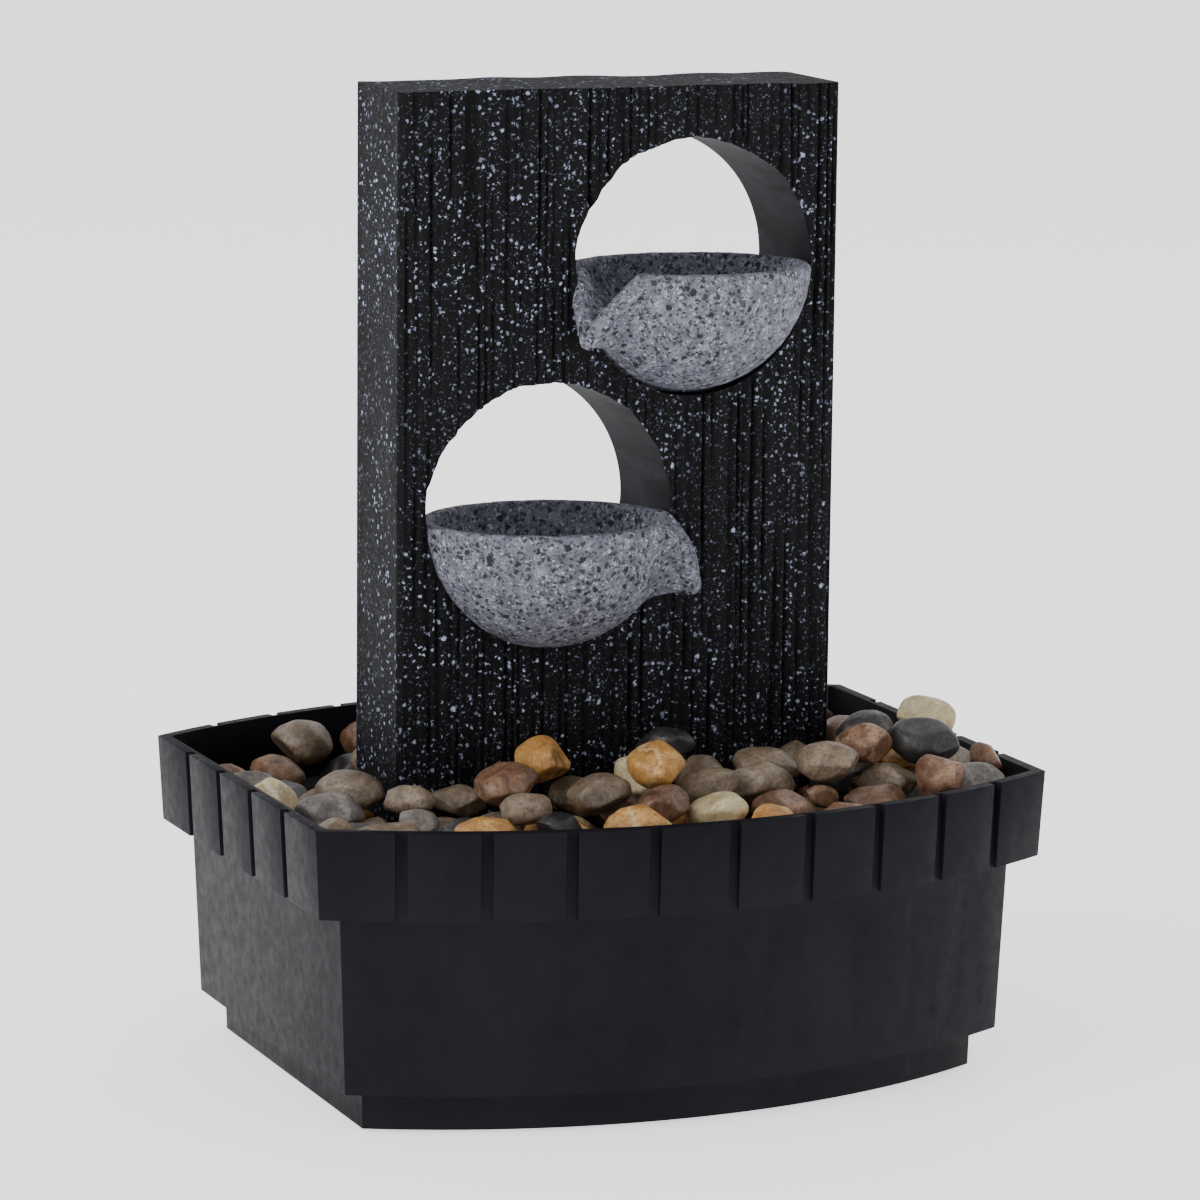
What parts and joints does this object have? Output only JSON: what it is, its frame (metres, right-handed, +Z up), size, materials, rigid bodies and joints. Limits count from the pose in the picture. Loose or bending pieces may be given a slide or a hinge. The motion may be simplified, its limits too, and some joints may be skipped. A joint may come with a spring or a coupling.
{
  "type": "tabletop water fountain",
  "caption": "Tabletop fountain: a stepped basin with a castellated rim, river stones and a stone-look tower pierced by round holes that hold spouted bowls fed by a hidden pump.",
  "frame": {"origin": "middle of the footprint, on the surface the fountain stands on", "axes": "+Z up, -Y the front with the combed tower face and the bowls, +X to the viewer's right when facing the front"},
  "size_m": [0.24, 0.211, 0.3059],
  "materials": {
    "basin_plastic": "matte moulded ABS with a fine grain",
    "foot_rubber": "soft matte rubber",
    "tray_plastic": "matte moulded plastic",
    "tower_stone": "black cast stone-look resin with white spatter",
    "bowl_stone": "grey granite-look resin with black specks",
    "fitting_plastic": "dark moulded nylon",
    "tube_vinyl": "clear flexible vinyl",
    "pump_plastic": "black ABS, satin",
    "pump_cover_plastic": "black ABS, satin",
    "dial_plastic": "blue moulded plastic",
    "impeller_plastic": "white acetal",
    "ferrite": "dark grey bonded ferrite magnet",
    "shaft_ceramic": "polished ceramic",
    "bush_rubber": "soft rubber",
    "seal_rubber": "soft rubber",
    "cup_rubber": "translucent grey PVC",
    "lamination_steel": "stacked steel laminations",
    "copper_winding": "enamelled copper wire",
    "stone_tan": "semi-polished river stone",
    "stone_brown": "semi-polished river stone",
    "stone_grey": "semi-polished river stone",
    "stone_amber": "semi-polished river stone",
    "stone_cream": "semi-polished river stone",
    "stone_dark": "semi-polished river stone"
  },
  "bodies": {
    "base": {"basin": "basin_plastic", "basin_feet": "foot_rubber", "pump_housing": "pump_plastic", "pump_back_cover": "pump_plastic", "volute_cover": "pump_cover_plastic", "rotor_shaft": "shaft_ceramic", "shaft_bush_front": "bush_rubber", "shaft_bush_rear": "bush_rubber", "volute_seal_ring": "seal_rubber", "outlet_nozzle": "pump_plastic", "suction_cups": "cup_rubber", "cord_gland": "seal_rubber", "stator_core": "lamination_steel", "stator_coils": "copper_winding"},
    "rotor": {"impeller": "impeller_plastic", "magnet_rotor": "ferrite"},
    "strainer": {"strainer_cover": "pump_cover_plastic"},
    "dial": {"flow_dial": "dial_plastic"},
    "tray": {"pebble_tray": "tray_plastic", "pebbles_tan": "stone_tan", "pebbles_brown": "stone_brown", "pebbles_grey": "stone_grey", "pebbles_amber": "stone_amber", "pebbles_cream": "stone_cream", "pebbles_dark": "stone_dark"},
    "tower": {"tower_shell": "tower_stone", "upper_bowl": "bowl_stone", "lower_bowl": "bowl_stone", "bowl_inlet_fitting": "fitting_plastic", "inlet_nut": "fitting_plastic", "water_tube": "tube_vinyl"}
  },
  "joints": [
    {"name": "tray_lift", "type": "slide", "parent": "base", "child": "tray", "axis": [0, 0, 1], "range_m": [0, 0.1]},
    {"name": "tower_lift", "type": "slide", "parent": "tray", "child": "tower", "axis": [0, 0, 1], "range_m": [0, 0.06]},
    {"name": "impeller_spin", "type": "hinge", "parent": "base", "child": "rotor", "pos_m": [0.022, 0, 0.0234], "axis": [0, 1, 0], "continuous": true},
    {"name": "strainer_pull", "type": "slide", "parent": "base", "child": "strainer", "axis": [0, -1, 0], "range_m": [0, 0.025]},
    {"name": "flow_dial_turn", "type": "hinge", "parent": "strainer", "child": "dial", "pos_m": [0.022, -0.023, 0.0234], "axis": [0, 1, 0], "range_deg": [0, 90]}
  ]
}
